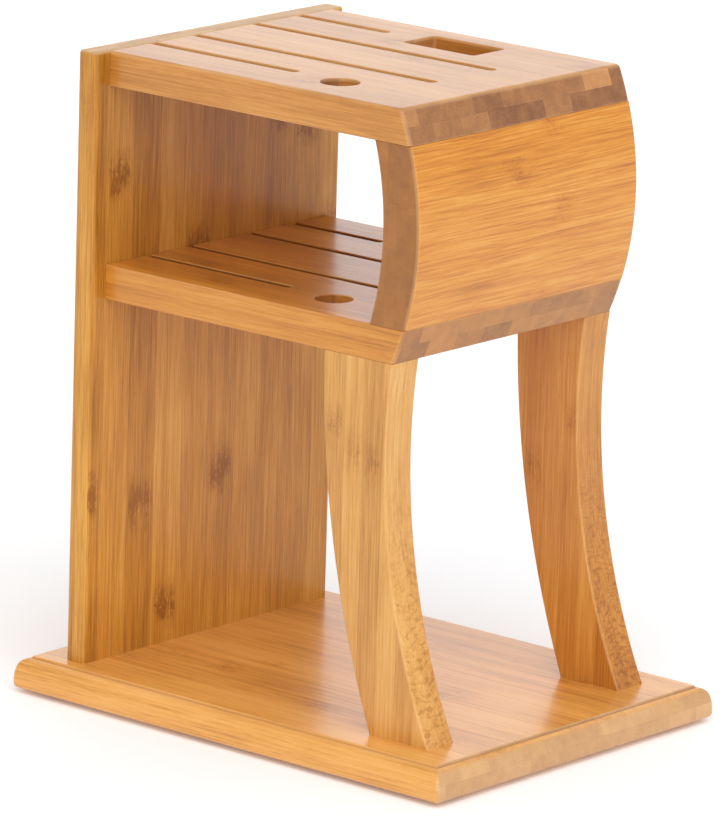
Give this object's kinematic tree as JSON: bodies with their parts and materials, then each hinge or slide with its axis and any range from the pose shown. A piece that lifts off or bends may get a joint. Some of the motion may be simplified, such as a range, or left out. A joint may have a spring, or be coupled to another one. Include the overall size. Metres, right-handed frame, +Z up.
{
  "type": "knife stand",
  "caption": "Open bamboo knife stand: slotted upper and lower decks between an upright back panel and a bowed front, on two curved legs and a moulded base board.",
  "frame": {"origin": "on the worktop, under the middle of the base board", "axes": "+Z up, -Y towards the bowed front, +X to the right when facing the front"},
  "size_m": [0.209, 0.2706, 0.32],
  "materials": {
    "bamboo_base": "satin clear lacquer on side-pressed bamboo",
    "bamboo_panel": "satin clear lacquer on flat-pressed bamboo",
    "bamboo_upper_deck": "satin clear lacquer on side-pressed bamboo",
    "bamboo_lower_deck": "satin clear lacquer on side-pressed bamboo",
    "bamboo_bow": "satin clear lacquer on side-pressed bamboo",
    "bamboo_leg": "satin clear lacquer on bamboo",
    "dowel_wood": "bare turned hardwood",
    "zinc_screw": "zinc plated",
    "pad_rubber": "matte black"
  },
  "bodies": {
    "root": {"back_panel": "bamboo_panel", "base_board": "bamboo_base", "base_leg_screw_left": "zinc_screw", "base_leg_screw_right": "zinc_screw", "base_panel_screw_left": "zinc_screw", "base_panel_screw_middle": "zinc_screw", "base_panel_screw_right": "zinc_screw", "bow_bottom_dowel_left": "dowel_wood", "bow_bottom_dowel_right": "dowel_wood", "bow_top_dowel_left": "dowel_wood", "bow_top_dowel_right": "dowel_wood", "bowed_front_panel": "bamboo_bow", "foot_pad_back_left": "pad_rubber", "foot_pad_back_right": "pad_rubber", "foot_pad_front_left": "pad_rubber", "foot_pad_front_right": "pad_rubber", "left_leg": "bamboo_leg", "leg_foot_dowel_left": "dowel_wood", "leg_foot_dowel_right": "dowel_wood", "leg_top_dowel_left_back": "dowel_wood", "leg_top_dowel_left_front": "dowel_wood", "leg_top_dowel_right_back": "dowel_wood", "leg_top_dowel_right_front": "dowel_wood", "lower_deck": "bamboo_lower_deck", "lower_deck_dowel_left": "dowel_wood", "lower_deck_dowel_right": "dowel_wood", "lower_deck_screw_left": "zinc_screw", "lower_deck_screw_right": "zinc_screw", "right_leg": "bamboo_leg", "upper_deck": "bamboo_upper_deck", "upper_deck_dowel_left": "dowel_wood", "upper_deck_dowel_right": "dowel_wood", "upper_deck_screw_left": "zinc_screw", "upper_deck_screw_right": "zinc_screw"}
  },
  "joints": []
}
